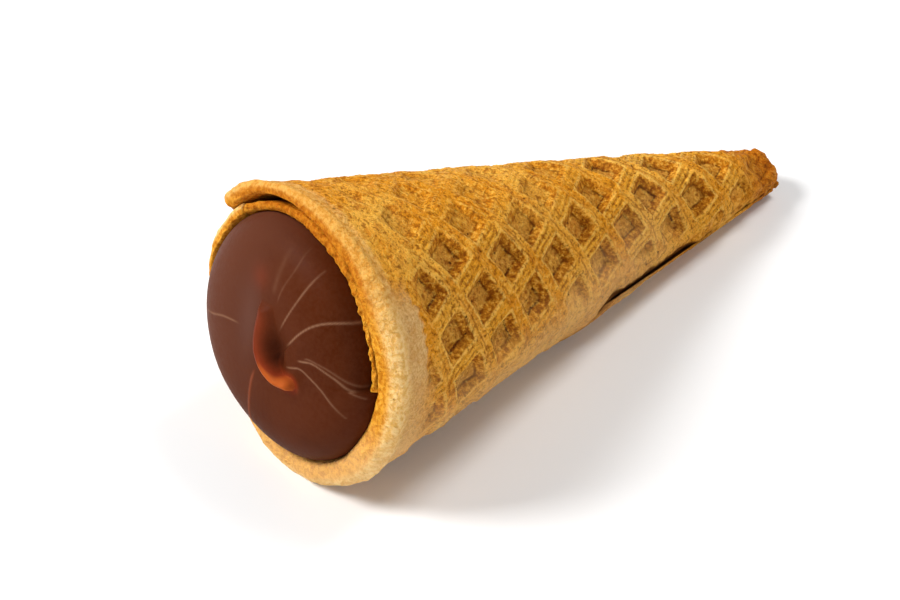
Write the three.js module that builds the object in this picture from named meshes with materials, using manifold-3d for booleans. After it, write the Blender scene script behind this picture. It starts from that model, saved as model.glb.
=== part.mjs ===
// A small rolled wafer cone with a chocolate filling, lying on its side.
//
// Millimetres, +Z up. The cone's tip points toward +Y and its mouth faces -Y.
// Two solids: the rolled wafer sheet and the chocolate poured and piped into it.
// The outer turn of the sheet carries a pressed lattice of square pockets between
// crossed ribs. The wafer rests on two small flats worn on its underside.
import * as THREE from "three";
import { mergeVertices } from "three/addons/utils/BufferGeometryUtils.js";
import Module from "manifold-3d";

const wasm = await Module();
wasm.setup();

// ---- the cone -------------------------------------------------------------
const MOUTH_RADIUS = 15.2; // outside of the wafer at the mouth
const HALF_ANGLE = 10.62; // degrees, between the axis and the outside wall
const WAFER_LENGTH = 67.3; // along the axis, mouth to blunt tip
const LIE_ANGLE = 10.38; // degrees the axis dips toward the tip as it lies
const UNDERSIDE_FLAT = 0.22; // depth taken off where the cone rests

// ---- the rolled sheet -----------------------------------------------------
const RIM_ROUND = 1.7; // rounding of the outer edge of the mouth
const END_AT_MOUTH = 142; // degrees round the axis where the outer turn ends
const END_NEAR_TIP = 338; // the same end, where it has come round underneath
const END_TURN_FROM = 2; // distances from the mouth over which the end
const END_TURN_TO = 37; // travels round the back of the cone
const END_STOPS = 51; // past here the outer turn has run out
const SHEET_STEP = 1.15; // height of the outer turn's cut end
const MOUTH_STEP = 1.55; // the same at the mouth, where the corner stands off
const CORNER_LIFT = 0.35; // outward flare of the loose corner
const SIDE_DENT = 0.5; // how far the mouth is pressed in on the left
const RIM_SAG = 0.45; // how far it bulges underneath, where it carries the cone
const SIDE_SWELL = 0.85; // how far the lower side swells, halfway down
const SLOT_GAP = 0.5; // open gap under the loose corner
const SLOT_DEPTH = 6;
const INNER_END = 5; // degrees where the sheet begins inside the mouth

// ---- the pressed lattice --------------------------------------------------
const PITCH = 5.655; // rib to rib
const POCKET_TOP = 3.75; // side of a pocket at rib height
const POCKET_FLOOR = 2.3; // side of a full-depth pocket at its floor
const POCKET_DEPTH = 0.85;
const LATTICE_TURN = 62.26; // degrees between one rib family and the axis line
const LATTICE_S = 58.2; // one pocket's centre, measured on the unrolled sheet
const LATTICE_T = 5.41; // from the cone's point
const LATTICE_ZERO = 30.24; // degrees round the axis of the unrolled zero line

// ---- the chocolate --------------------------------------------------------
const CLEARANCE = 0.3; // between chocolate and wafer
const CAVITY_DEPTH = 57;
const CAVITY_END_RADIUS = 1.35;
const DOME_HEIGHT = 3.2; // above the mouth
const DOME_EDGE = 0.6; // the chocolate's edge sits this far inside the mouth
const DOME_ROUND = 11.9; // radius the dome settles to away from its edge
const PEAK_RADIUS = 0.8; // half thickness of the drawn-out peak
const PEAK_SWELL = 0.35; // extra where it leaves the dome
const PEAK_SKIRT = 1.5; // how far its foot spreads on the inside of the hook

// The inside radius of the wafer round the mouth: [degrees, radius].
const MOUTH_INSIDE = [
  [5, 11.3],
  [50, 11.5],
  [80, 12.0],
  [110, 12.6],
  [160, 12.6],
  [230, 12.7],
  [290, 12.6],
  [330, 12.2],
  [365, 12.2],
];
// The piped peak, as [sideways, upward, height above the mouth] from the middle.
const PEAK_PATH = [
  [-0.7, 5.3, 2.6],
  [-0.6, 3.4, 3.2],
  [-0.7, 1.3, 3.6],
  [-0.3, -0.5, 3.8],
  [0.9, -1.8, 3.8],
  [2.5, -2.2, 3.7],
  [4.3, -1.8, 3.6],
];

const rad = THREE.MathUtils.degToRad;
const lerp = THREE.MathUtils.lerp;
const smooth = THREE.MathUtils.smoothstep;
const SLOPE = Math.tan(rad(HALF_ANGLE));
const POINT_DISTANCE = MOUTH_RADIUS / SLOPE; // mouth to the cone's sharp point

// ---- placing things on the lying cone -------------------------------------
const AXIS = new THREE.Vector3(0, Math.cos(rad(LIE_ANGLE)), -Math.sin(rad(LIE_ANGLE)));
const SIDE = new THREE.Vector3(1, 0, 0);
const RISE = new THREE.Vector3().crossVectors(SIDE, AXIS);
const MOUTH_CENTRE = new THREE.Vector3(-0.84, -30.65, 14.62);

// A point so far along the axis, so far out from it, at an angle counted
// anticlockwise from +X as seen from the mouth.
function place(along, out, degrees) {
  const turn = rad(degrees);
  return MOUTH_CENTRE.clone()
    .addScaledVector(AXIS, along)
    .addScaledVector(SIDE, out * Math.cos(turn))
    .addScaledVector(RISE, out * Math.sin(turn));
}

const wrap = (degrees) => ((degrees % 360) + 360) % 360;

// Where the outer turn's cut end lies, at a distance from the mouth.
function sheetEnd(along) {
  const travelled = THREE.MathUtils.clamp((along - END_TURN_FROM) / (END_TURN_TO - END_TURN_FROM), 0, 1);
  return lerp(END_AT_MOUTH, END_NEAR_TIP, travelled);
}

// The outside radius of the rolled sheet. "past" is the angle gone past the
// cut end: just past it the surface is one sheet lower, then it rises again.
function outsideRadius(along, past) {
  const plain = Math.max((POINT_DISTANCE - along) * SLOPE, 0.6);
  const atMouth = 1 - smooth(along, 0, 9);
  const runOut = 1 - smooth(along, END_STOPS - 1, END_STOPS + 1.5);
  const pressedOn = 1 - 0.4 * smooth(along, 24, 40);
  const step = (SHEET_STEP * pressedOn + (MOUTH_STEP - SHEET_STEP) * atMouth) * lerp(0.25, 1, runOut);
  const hollow = step * (1 - smooth(past, 35 + 45 * atMouth, 165 + 30 * atMouth));
  const flare = CORNER_LIFT * atMouth * smooth(past, 325, 359);
  const dent = SIDE_DENT * atMouth * smooth(past, 18, 45) * (1 - smooth(past, 90, 125));
  const around = wrap(past + sheetEnd(along));
  const below = smooth(around, 222, 252) * (1 - smooth(around, 282, 312));
  const sag = RIM_SAG * below * (1 - smooth(along, 5, 13));
  const aside = wrap(around + 90) - 90;
  const lowSide = smooth(aside, -72, -42) * (1 - smooth(aside, -8, 24));
  const halfway = smooth(along, 8, 28) * (1 - 0.75 * smooth(along, 33, 38)) * (1 - smooth(along, 50, 62));
  const swell = SIDE_SWELL * lowSide * halfway * (1 - smooth(past, 290, 340));
  const angle = rad(around);
  const uneven = 0.1 * Math.sin(2 * angle + 0.11 * along) + 0.07 * Math.sin(5 * angle - 0.2 * along);
  return plain - hollow + flare - dent + sag + swell + uneven * smooth(along, 0, 4) * 0.9;
}

// The same radius at an ordinary angle round the axis.
function outsideAt(along, degrees) {
  return outsideRadius(along, wrap(degrees - sheetEnd(along)));
}

// The inside radius, tapering to the bottom of the hollow.
function insideRadius(along, degrees) {
  const angle = wrap(degrees - MOUTH_INSIDE[0][0]) + MOUTH_INSIDE[0][0];
  let mouth = MOUTH_INSIDE.at(-1)[1];
  for (let i = 1; i < MOUTH_INSIDE.length; i += 1) {
    const [a0, r0] = MOUTH_INSIDE[i - 1];
    const [a1, r1] = MOUTH_INSIDE[i];
    if (angle >= a0 && angle <= a1) {
      mouth = lerp(r0, r1, (angle - a0) / (a1 - a0));
    }
  }
  const depth = Math.max(along, 0) / CAVITY_DEPTH;
  const taper = lerp(mouth, CAVITY_END_RADIUS, depth);
  return along < 0 ? mouth : taper;
}

// ---- shaping and joining --------------------------------------------------
// Moves every vertex of a closed three.js geometry to where "to" sends it.
function warp(geometry, to) {
  geometry.deleteAttribute("normal");
  geometry.deleteAttribute("uv");
  const merged = mergeVertices(geometry, 1e-5);
  const position = merged.getAttribute("position");
  for (let i = 0; i < position.count; i += 1) {
    const p = to(position.getX(i), position.getY(i), position.getZ(i));
    position.setXYZ(i, p.x, p.y, p.z);
  }
  return merged;
}

function solid(geometry) {
  const position = geometry.getAttribute("position");
  const made = new wasm.Manifold(
    new wasm.Mesh({
      numProp: 3,
      vertProperties: new Float32Array(position.array),
      triVerts: new Uint32Array(geometry.index.array),
    }),
  );
  if (made.volume() < 0) {
    throw new Error("a piece is inside out");
  }
  return made;
}

function geometryOf(manifold) {
  const mesh = manifold.getMesh();
  const geometry = new THREE.BufferGeometry();
  const position = new Float32Array(mesh.numVert * 3);
  for (let i = 0; i < mesh.numVert; i += 1) {
    for (let k = 0; k < 3; k += 1) {
      position[3 * i + k] = mesh.vertProperties[mesh.numProp * i + k];
    }
  }
  geometry.setAttribute("position", new THREE.BufferAttribute(position, 3));
  geometry.setIndex(new THREE.BufferAttribute(new Uint32Array(mesh.triVerts), 1));
  geometry.computeVertexNormals();
  return geometry;
}

// A closed barrel of rings: "stations" lists how far along each ring lies, and
// "ring" places the vertex of a ring at a fraction 0..1 of the way round.
function barrel(stations, columns, ring, centre) {
  const rows = stations.length - 1;
  const start = new THREE.CylinderGeometry(1, 1, 1, columns, rows);
  return solid(
    warp(start, (x, y, z) => {
      const row = Math.round((0.5 - y) * rows);
      if (Math.hypot(x, z) < 0.5) {
        return centre(row === 0 ? 0 : 1);
      }
      const round = wrap(THREE.MathUtils.radToDeg(Math.atan2(x, z)) + 0.001) / 360;
      const column = Math.round(round * columns) % columns;
      return ring(stations[row], column / (columns - 1), row);
    }),
  );
}

// ---- the wafer ------------------------------------------------------------
const COLUMNS = 42;

// How far the rounded rim and the blunt tip draw the outside in.
function drawnIn(along) {
  if (along < RIM_ROUND) {
    const reach = RIM_ROUND - along;
    return RIM_ROUND - Math.sqrt(RIM_ROUND ** 2 - reach ** 2);
  }
  const pastTip = Math.max(along - (WAFER_LENGTH - 1.4), 0);
  return 0.75 * pastTip ** 2;
}

function roughness(along, degrees) {
  const nearTip = smooth(along, 52, 64);
  const wave = Math.sin(rad(3 * degrees) + 1.9 * along) + 0.7 * Math.sin(rad(5 * degrees) - 1.3 * along);
  return 0.16 * nearTip * wave;
}

const outerStations = [0, 0.2, 0.75, RIM_ROUND];
for (let along = 4.5; along < 63; along += 3.42) {
  outerStations.push(along);
}
outerStations.push(WAFER_LENGTH - 1.4, WAFER_LENGTH - 0.5, WAFER_LENGTH);

const rolledOutside = barrel(
  outerStations,
  COLUMNS,
  (along, round) => {
    const past = round * 359.2;
    const degrees = sheetEnd(along) + past;
    const out = outsideRadius(along, past) + roughness(along, degrees) - drawnIn(along);
    return place(along, out, degrees);
  },
  (end) => place(end === 0 ? 0 : WAFER_LENGTH + 0.25, 0, 0),
);

const hollow = barrel(
  [-3, 0, 6, 20, 40, CAVITY_DEPTH],
  40,
  (along, round) => {
    const degrees = INNER_END + 0.4 + round * 359.2;
    return place(along, insideRadius(along, degrees), degrees);
  },
  (end) => place(end === 0 ? -3 : CAVITY_DEPTH, 0, 0),
);

// The open crescent under the loose corner of the outer turn.
const slot = solid(
  warp(new THREE.BoxGeometry(1, 1, 1, 12, 1, 3), (x, y, z) => {
    const degrees = lerp(66, END_AT_MOUTH + 9, 0.5 + x);
    const along = lerp(-1, SLOT_DEPTH, 0.5 + z);
    const inner = MOUTH_RADIUS - MOUTH_STEP - 0.12 - 0.45 * smooth(degrees, 95, 66) ** 2;
    const wide = SLOT_GAP * smooth(degrees, 60, 120) * lerp(1, 0.5, 0.5 + z);
    const out = inner - Math.max(along, 0) * SLOPE + (0.5 + y) * (wide + 0.06);
    return place(along, out, degrees);
  }),
);

// The unrolled sheet is flat, so the pressed lattice is an exact square grid on
// it. A point on the sheet, so high above it, goes to its place on the cone.
function fromSheet(s, t, high) {
  const slant = Math.hypot(s, t);
  const degrees = LATTICE_ZERO + THREE.MathUtils.radToDeg(Math.atan2(t, s) / Math.sin(rad(HALF_ANGLE)));
  const along = POINT_DISTANCE - slant * Math.cos(rad(HALF_ANGLE));
  return { along, degrees, out: outsideAt(along, degrees) + high };
}

// The lattice is faint where the sheet was rubbed smooth: over the top near
// the mouth, and low on the right where the cone was rolled against a board.
function pocketDepth(along, degrees) {
  const up = wrap(degrees + 90) - 90;
  const top = smooth(up, 48, 78) * (1 - smooth(up, 200, 235)) * (1 - smooth(along, 26, 46));
  const lowEdge = 6 + 0.1 * (along - 30);
  const low = (1 - smooth(up, lowEdge - 12, lowEdge + 7)) * smooth(up, -80, -50) * smooth(along, 11, 20);
  const rim = smooth(along, 3, 8.5);
  const tip = 1 - 0.45 * smooth(along, 50, 64);
  return POCKET_DEPTH * rim * tip * (1 - 0.75 * top) * (1 - 0.85 * low);
}

const POCKET_CLEAR = 1.5; // each pocket's cut starts this far above the ribs
const flank = (POCKET_TOP - POCKET_FLOOR) / POCKET_DEPTH;
const turn = rad(LATTICE_TURN + 180);
const pockets = [];
for (let i = -16; i <= 16; i += 1) {
  for (let j = -16; j <= 16; j += 1) {
    const toSheet = (u, v) => [
      LATTICE_S + PITCH * (u * Math.cos(turn) - v * Math.sin(turn)),
      LATTICE_T + PITCH * (u * Math.sin(turn) + v * Math.cos(turn)),
    ];
    const [s, t] = toSheet(i, j);
    const unrolled = THREE.MathUtils.radToDeg(Math.atan2(t, s) / Math.sin(rad(HALF_ANGLE)));
    const middle = fromSheet(s, t, 0);
    const { along, degrees } = middle;
    // Sideways distance to the cut end, on either side of it.
    const past = wrap(degrees - sheetEnd(along));
    const aside = rad(Math.min(past, 360 - past)) * middle.out;
    const depth = pocketDepth(along, degrees);
    const end = sheetEnd(along);
    const oneTurn = unrolled > end - 360 && unrolled <= end;
    if (s < 0 || !oneTurn || along < 4.6 || along > 61 || aside < 2.9 || depth < 0.15) {
      continue;
    }
    const scale = along > 58 ? 0.8 : 1;
    const cuts = along > 27 ? 2 : 1;
    pockets.push(
      solid(
        warp(new THREE.BoxGeometry(1, 1, 1, cuts, cuts, 1), (x, y, z) => {
          const high = z > 0 ? POCKET_CLEAR : -depth;
          const side = z > 0 ? POCKET_TOP + flank * POCKET_CLEAR : POCKET_TOP - flank * depth;
          const [us, vt] = toSheet(i + (scale * y * side) / PITCH, j + (scale * x * side) / PITCH);
          const spot = fromSheet(us, vt, high);
          return place(spot.along, spot.out, spot.degrees);
        }),
      ),
    );
  }
}

let wafer = rolledOutside.subtract(hollow).subtract(slot);
for (const pocket of pockets) {
  wafer = wafer.subtract(pocket);
}
wafer = wafer.trimByPlane([0, 0, 1], UNDERSIDE_FLAT);
// A crumb left loose between two pockets falls away.
const [largest] = wafer.decompose().sort((a, b) => b.volume() - a.volume());
wafer = largest;

// ---- the chocolate --------------------------------------------------------
// Rings run from the middle of the dome out to its edge, then down the inside.
const domeRings = [0.16, 0.4, 0.62, 0.8, 0.92, 0.98];
const wallRings = [DOME_EDGE, 8, 24, 40, CAVITY_DEPTH - CLEARANCE];
const domeHeight = (share) => lerp(-DOME_EDGE, DOME_HEIGHT, (1 - share ** 4.5) ** 0.7);

const filling = barrel(
  [...domeRings.map((share) => -share), ...wallRings],
  40,
  (station, round) => {
    const degrees = INNER_END + 0.4 + round * 359.2;
    if (station < 0) {
      const edge = lerp(DOME_ROUND, insideRadius(0, degrees) - CLEARANCE, (-station) ** 8);
      return place(-domeHeight(-station), edge * -station, degrees);
    }
    return place(station, insideRadius(station, degrees) - CLEARANCE, degrees);
  },
  (end) => place(end === 0 ? -DOME_HEIGHT : CAVITY_DEPTH - CLEARANCE, 0, 0),
);

// The peak left when the piping nozzle was pulled away, fallen into a hook.
const peakCurve = new THREE.CatmullRomCurve3(
  PEAK_PATH.map(([x, y, high]) => {
    const degrees = THREE.MathUtils.radToDeg(Math.atan2(y, x));
    return place(-high, Math.hypot(x, y), degrees);
  }),
);
const PEAK_ROWS = 12;
const peakStations = [];
for (let i = 0; i <= PEAK_ROWS; i += 1) {
  peakStations.push(i / PEAK_ROWS);
}
const peak = barrel(
  peakStations,
  10,
  (share, round, row) => {
    const here = peakCurve.getPoint(share);
    const ahead = peakCurve.getTangent(share);
    const across = new THREE.Vector3().crossVectors(ahead, AXIS).normalize();
    const outward = new THREE.Vector3().crossVectors(across, ahead).normalize();
    const blunt = row === 0 || row === PEAK_ROWS ? 0.55 : 1;
    const middle = Math.sin(Math.PI * share) ** 2;
    const thick = (PEAK_RADIUS + PEAK_SWELL * middle) * blunt;
    const turned = round * Math.PI * 1.8;
    const inside = Math.max(Math.cos(turned), 0);
    return here
      .addScaledVector(across, thick * Math.cos(turned) + PEAK_SKIRT * middle * inside)
      .addScaledVector(outward, thick * Math.sin(turned) - 0.7 * middle * inside);
  },
  (end) => {
    const tip = peakCurve.getPoint(end);
    return tip.addScaledVector(peakCurve.getTangent(end), (end === 0 ? -1 : 1) * 0.3);
  },
);
const chocolate = filling.add(peak);

// ---- the named parts ------------------------------------------------------
const lower = new THREE.Vector3(0, 0, -UNDERSIDE_FLAT);

function part(name, manifold, look) {
  const mesh = new THREE.Mesh(geometryOf(manifold), new THREE.MeshStandardMaterial(look));
  mesh.name = name;
  mesh.position.copy(lower);
  return mesh;
}

const cone = new THREE.Group();
cone.add(part("wafer_cone", wafer, { color: 0xc98f3c, roughness: 0.85, metalness: 0 }));
cone.add(part("chocolate_filling", chocolate, { color: 0x5a3020, roughness: 0.45, metalness: 0 }));

export default cone;
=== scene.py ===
# %% [markdown]
# # A rolled wafer cone filled with chocolate
#
# This lesson builds one small dessert: a crisp wafer sheet, pressed with a
# lattice and rolled into a cone, filled with milk chocolate that is domed at
# the mouth. The cone lies on its side, tip pointing along +Y.
#
# The solid model comes first. It fixes the size and position of the whole, and
# the finer pieces made here lie over it, within half a millimetre of its box.

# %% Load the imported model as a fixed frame
import math

import bpy
import numpy as np
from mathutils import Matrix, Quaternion, Vector, noise


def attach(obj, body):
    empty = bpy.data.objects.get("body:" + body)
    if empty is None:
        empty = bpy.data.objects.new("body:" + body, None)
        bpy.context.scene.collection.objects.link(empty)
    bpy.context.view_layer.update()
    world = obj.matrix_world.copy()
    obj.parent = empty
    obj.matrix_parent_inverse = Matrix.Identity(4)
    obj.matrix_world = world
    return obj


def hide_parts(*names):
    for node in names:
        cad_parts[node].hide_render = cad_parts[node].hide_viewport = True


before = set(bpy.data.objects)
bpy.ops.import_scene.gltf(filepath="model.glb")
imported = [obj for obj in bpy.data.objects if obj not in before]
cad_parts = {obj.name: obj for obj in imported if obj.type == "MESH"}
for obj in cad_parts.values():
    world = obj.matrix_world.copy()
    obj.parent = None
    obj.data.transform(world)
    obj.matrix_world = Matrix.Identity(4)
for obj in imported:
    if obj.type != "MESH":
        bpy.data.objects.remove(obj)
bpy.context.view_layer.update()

# %% [markdown]
# ## The cone's own measures
#
# A baker rolls a flat sheet round a wooden cone, so everything on the wafer is
# easiest to describe from the cone's axis: how far along it, how far out, and
# at what angle round it. These numbers repeat those of the solid model, in
# millimetres and degrees. The angle is counted anticlockwise from the right as
# seen from the mouth, so 90 is on top and 270 is underneath.

# %% Sizes of the cone, millimetres
MOUTH_RADIUS = 15.2
HALF_ANGLE = math.radians(10.62)
LIE_ANGLE = math.radians(10.38)
WAFER_LENGTH = 67.3
MOUTH_CENTRE = np.array([-0.84, -30.65, 14.40])
SLOPE = math.tan(HALF_ANGLE)
POINT_DISTANCE = MOUTH_RADIUS / SLOPE
AXIS = np.array([0.0, math.cos(LIE_ANGLE), -math.sin(LIE_ANGLE)])
SIDE = np.array([1.0, 0.0, 0.0])
RISE = np.cross(SIDE, AXIS)


def on_cone(along, out, degrees):
    """Points in millimetres: so far along the axis, so far out, at an angle round it."""
    along, out, turn = np.broadcast_arrays(along, out, np.radians(degrees))
    return (
        MOUTH_CENTRE
        + along[..., None] * AXIS
        + (out * np.cos(turn))[..., None] * SIDE
        + (out * np.sin(turn))[..., None] * RISE
    )


print("from the mouth to the cone's sharp point:", round(POINT_DISTANCE, 1), "mm")

# %% Two helpers: a smooth step, and random bumps of a chosen size


def smooth(x, low, high):
    """0 below low, 1 above high, and an even S-shaped rise between them."""
    t = np.clip((x - low) / (high - low), 0.0, 1.0)
    return t * t * (3.0 - 2.0 * t)


def bumps(points, size, seed):
    """Smooth random heights from about -1 to 1, each bump roughly size millimetres across."""
    shift = Vector((17.3, 5.1, 9.7)) * seed
    flat = points.reshape(-1, 3) / size
    return np.array([noise.noise(Vector(p) + shift) for p in flat]).reshape(points.shape[:-1])


print("a test bump:", bumps(np.array([[1.0, 2.0, 3.0]]), 2.0, 1))

# %% [markdown]
# ## Where the sheet's loose end runs
#
# The sheet wraps round the cone about one and a third times. Its outer end
# shows as a step: at the mouth it stands off as a loose corner at the top
# left. From there it runs round the back and underneath, comes out low on the
# right 37 mm from the mouth, and runs out at 51 mm.
# The function below says at which angle that cut end lies, and the next one
# says how far out the sheet's outside is at any turn of the roll. The turn
# isn't wrapped at 360, so one number says where on the sheet a point is.

# %% The outside of the outer turn
END_AT_MOUTH, END_NEAR_TIP = 142.0, 338.0
END_TURN_FROM, END_TURN_TO, END_STOPS = 2.0, 37.0, 51.0
SHEET_STEP, MOUTH_STEP, CORNER_LIFT, SIDE_DENT = 1.15, 1.55, 0.35, 0.5
RIM_SAG, SIDE_SWELL = 0.45, 0.85
LEAST_RADIUS, RUN_OUT_STEP = 0.6, 0.10


def sheet_end(along):
    travelled = np.clip((along - END_TURN_FROM) / (END_TURN_TO - END_TURN_FROM), 0.0, 1.0)
    return END_AT_MOUTH + (END_NEAR_TIP - END_AT_MOUTH) * travelled


def outside(along, turn):
    """Outside radius of the sheet. Just past its end the roll is one sheet lower."""
    plain = np.maximum((POINT_DISTANCE - along) * SLOPE, LEAST_RADIUS)
    at_mouth = 1.0 - smooth(along, 0.0, 9.0)
    run_out = 1.0 - smooth(along, END_STOPS - 1.0, END_STOPS + 1.5)
    past = np.clip(turn - sheet_end(along) + 360.0, 0.0, 360.0)
    pressed_on = 1.0 - 0.4 * smooth(along, 24.0, 40.0)
    step = SHEET_STEP * pressed_on + (MOUTH_STEP - SHEET_STEP) * at_mouth
    step = step * (RUN_OUT_STEP + 0.90 * run_out)
    hollow = step * (1.0 - smooth(past, 35.0 + 45.0 * at_mouth, 165.0 + 30.0 * at_mouth))
    flare = CORNER_LIFT * at_mouth * smooth(past, 325.0, 359.0)
    dent = SIDE_DENT * at_mouth * smooth(past, 18.0, 45.0) * (1.0 - smooth(past, 90.0, 125.0))
    around = np.mod(past + sheet_end(along), 360.0)
    below = smooth(around, 222.0, 252.0) * (1.0 - smooth(around, 282.0, 312.0))
    sag = RIM_SAG * below * (1.0 - smooth(along, 5.0, 13.0))
    aside = np.mod(around + 90.0, 360.0) - 90.0
    swell = SIDE_SWELL * smooth(aside, -72.0, -42.0) * (1.0 - smooth(aside, -8.0, 24.0))
    swell = swell * smooth(along, 8.0, 28.0) * (1.0 - 0.75 * smooth(along, 33.0, 38.0))
    swell = swell * (1.0 - smooth(along, 50.0, 62.0)) * (1.0 - smooth(past, 290.0, 340.0))
    bearing = np.radians(around)
    uneven = 0.1 * np.sin(2.0 * bearing + 0.11 * along) + 0.07 * np.sin(5.0 * bearing - 0.2 * along)
    return plain - hollow + flare - dent + sag + swell + uneven * smooth(along, 0.0, 4.0) * 0.9


for spot in (0.0, 20.0, 44.0):
    print(f"at {spot:.0f} mm the cut end is at {sheet_end(spot):.0f} degrees,",
          f"outside radius on the right {outside(np.array(spot), np.array(0.0)):.2f} mm")

# %% [markdown]
# ## The inside of the wafer
#
# The mouth isn't a true circle inside. A short table gives its radius round
# the mouth, from the sheet's inner end at 5 degrees round to the same place.
# The chocolate fills it with a hair of clearance.

# %% The hollow that the chocolate fills
CAVITY_DEPTH, CAVITY_END_RADIUS, CLEARANCE = 57.0, 1.35, 0.3
INNER_END = 5.0
HOLLOW_ANGLES = [5, 50, 80, 110, 160, 230, 290, 330, 365]
HOLLOW_RADII = [11.3, 11.5, 12.0, 12.6, 12.6, 12.7, 12.6, 12.2, 12.2]


def hollow_radius(along, degrees):
    angle = np.mod(degrees - INNER_END, 360.0) + INNER_END
    mouth = np.interp(angle, HOLLOW_ANGLES, HOLLOW_RADII)
    depth = np.maximum(along, 0.0) / CAVITY_DEPTH
    return mouth + (CAVITY_END_RADIUS - mouth) * np.minimum(depth, 1.0)


print("hollow radius at the mouth, top and bottom:",
      hollow_radius(0.0, 90.0).round(2), hollow_radius(0.0, 270.0).round(2))

# %% [markdown]
# ## The pressed lattice
#
# The baking plates press square pockets between two families of ribs. On the
# flat sheet the lattice is an exact square grid, so the way to get it right on
# the cone is to unroll each point of the surface back to the flat sheet, work
# out the grid there, and keep the height. A little random drift makes the ribs
# as uneven as baked batter is.

# %% Unroll the sheet and measure each point against the grid
PITCH = 5.655
GRID_TURN = math.radians(62.26 + 180.0)
GRID_S, GRID_T, SHEET_ZERO = 58.2, 5.41, 30.24


def unrolled(along, turn):
    """The point's place on the flat sheet, in millimetres."""
    slant = (POINT_DISTANCE - along) / math.cos(HALF_ANGLE)
    swing = np.radians(turn - SHEET_ZERO) * math.sin(HALF_ANGLE)
    return slant * np.cos(swing), slant * np.sin(swing)


def grid_place(s, t):
    """Counts of ribs across and along; whole numbers are pocket centres."""
    flat = np.stack([s, t, np.zeros_like(s)], axis=-1)
    s = s + 0.20 * bumps(flat, 13.0, 1) + 0.20 * bumps(flat, 3.4, 2)
    t = t + 0.20 * bumps(flat, 13.0, 3) + 0.20 * bumps(flat, 3.4, 4)
    ds, dt = s - GRID_S, t - GRID_T
    across = (ds * math.cos(GRID_TURN) + dt * math.sin(GRID_TURN)) / PITCH
    down = (dt * math.cos(GRID_TURN) - ds * math.sin(GRID_TURN)) / PITCH
    return across, down


pocket_place = grid_place(np.array([GRID_S]), np.array([GRID_T]))
print("one pocket's grid place:", [float(g.round(2)) for g in pocket_place])

# %% [markdown]
# A pocket is a square hole with sloping sides and round corners. The ribs
# between pockets carry two or three finer ridges side by side, and where they
# cross, one family runs over the other. The lattice fades over the top near
# the mouth, where the batter was rubbed flat by rolling, and within a few
# millimetres of the rim. Pockets are 0.2 mm deeper here than in the solid model.

# %% Depth of the pockets and height of the fine ridges
POCKET_DEPTH = 1.05
FLOOR_HALF, TOP_HALF, RIDGE_PITCH = 1.14, 1.98, 0.62


def lattice_strength(along, turn, drift):
    up = np.mod(turn + 90.0, 360.0) - 90.0
    rubbed = smooth(up, 46.0, 76.0) * (1.0 - smooth(up, 118.0, 150.0)) * (1.0 - smooth(along, 24.0, 46.0))
    low_edge = 6.0 + 0.1 * (along - 30.0)
    lain_on = (1.0 - smooth(up + 6.0 * drift, low_edge - 12.0, low_edge + 7.0)) * smooth(along, 11.0, 20.0)
    lain_on = lain_on * smooth(up, -80.0, -50.0)
    rim = smooth(along + 1.2 * drift, 4.2, 7.6)
    tip = 1.0 - 0.55 * smooth(along, 53.0, 63.0)
    return rim * tip * (1.0 - 0.62 * rubbed) * (1.0 - 0.85 * lain_on)


def pressed(along, turn):
    """Height against the ribs' tops, and the place on the grid with the pattern's strength."""
    s, t = unrolled(along, turn)
    flat = np.stack([s, t, np.zeros_like(s)], axis=-1)
    across, down = grid_place(s, t)
    x = np.abs(across - np.round(across)) * PITCH
    y = np.abs(down - np.round(down)) * PITCH
    uneven = bumps(flat, 2.1, 5)
    square = (x**8 + y**8) ** (1 / 8) + 0.13 * uneven
    strength = lattice_strength(along, turn, bumps(flat, 5.0, 6))
    pocket = 1.0 - np.clip((square - FLOOR_HALF) / (TOP_HALF - FLOOR_HALF), 0.0, 1.0)
    from_over = PITCH / 2 - y
    from_under = PITCH / 2 - x
    on_over = 1.0 - smooth(from_over, 0.75, 0.95)
    on_under = (1.0 - smooth(from_under, 0.75, 0.95)) * (1.0 - on_over)
    some = 0.5 + 0.9 * bumps(flat, 6.5, 7)
    over_ridge = on_over * np.exp(-(((from_over - 0.68) / 0.18) ** 2)) * (0.6 + 0.5 * some)
    over_groove = on_over * np.exp(-(((from_over - 0.12 * uneven) / 0.20) ** 2)) * some
    under_wave = on_under * np.cos((from_under + 0.08 * uneven) * 2 * math.pi / RIDGE_PITCH)
    ridge = 0.15 * over_ridge - 0.10 * over_groove + 0.07 * under_wave
    worn = 0.06 * bumps(flat, 1.3, 8) + 0.12 * bumps(flat, 3.0, 9)
    height = -POCKET_DEPTH * pocket * (1 + 0.12 * some) - 0.06 * on_under + ridge + worn
    return height * strength, (across, down, strength)


sample = pressed(np.array([20.0, 21.0]), np.array([20.0, 24.0]))
print("two sample heights:", sample[0].round(2))

# %% [markdown]
# ## A roll of sheet as one closed mesh
#
# Both the outer turn and the little collar of inner turn at the mouth are
# sheets with thickness. Each is built as a stack of closed loops: a loop goes
# up the outside, over the end, back down the inside and over the rim. Loops
# stand side by side round the cone, and the first and last are closed with a
# strip of triangles, so the piece is watertight and can be printed.

# %% Helpers that turn loops into a mesh


def close_strip(front, back, reach_front, reach_back):
    """Triangles across the sheet between its outside and inside edges."""
    i = j = 0
    faces = []
    while i < len(front) - 1 or j < len(back) - 1:
        if j == len(back) - 1 or (i < len(front) - 1 and reach_front[i + 1] <= reach_back[j + 1]):
            faces.append((front[i], front[i + 1], back[j]))
            i += 1
        else:
            faces.append((front[i], back[j + 1], back[j]))
            j += 1
    return faces


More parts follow.
